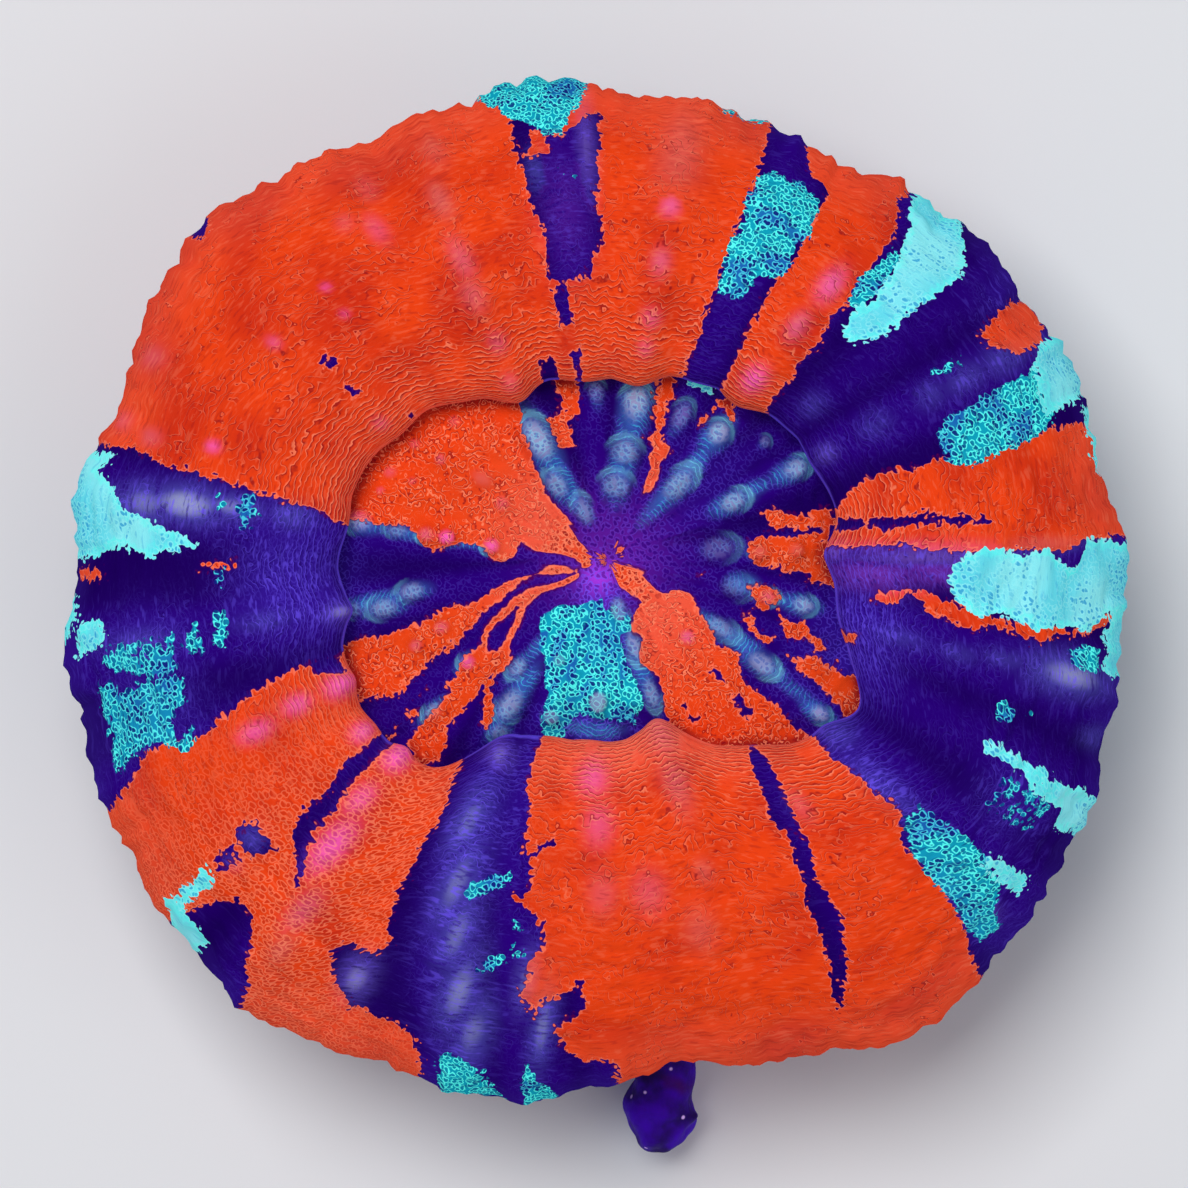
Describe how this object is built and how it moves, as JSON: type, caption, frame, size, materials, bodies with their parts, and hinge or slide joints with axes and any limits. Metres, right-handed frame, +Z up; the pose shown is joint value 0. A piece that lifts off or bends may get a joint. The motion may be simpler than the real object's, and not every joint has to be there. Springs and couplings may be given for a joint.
{
  "type": "scolymia coral",
  "caption": "Single round fleshy coral polyp with a sunken oral disc, a folded lip and toothed radial ridges, on a short ribbed stony stalk cut off flat.",
  "frame": {"origin": "middle of the flat cut under the stalk, straight below the mouth", "axes": "+Z up out of the mouth; +X to the right and +Y to the top of the picture, which looks straight down"},
  "size_m": [0.091, 0.0931, 0.0352],
  "materials": {
    "flesh": "wet flesh, orange with indigo and cyan patches",
    "skeleton": "rough coral stone under blue light"
  },
  "bodies": {
    "root": {"polyp": "flesh", "stalk": "skeleton"}
  },
  "joints": []
}
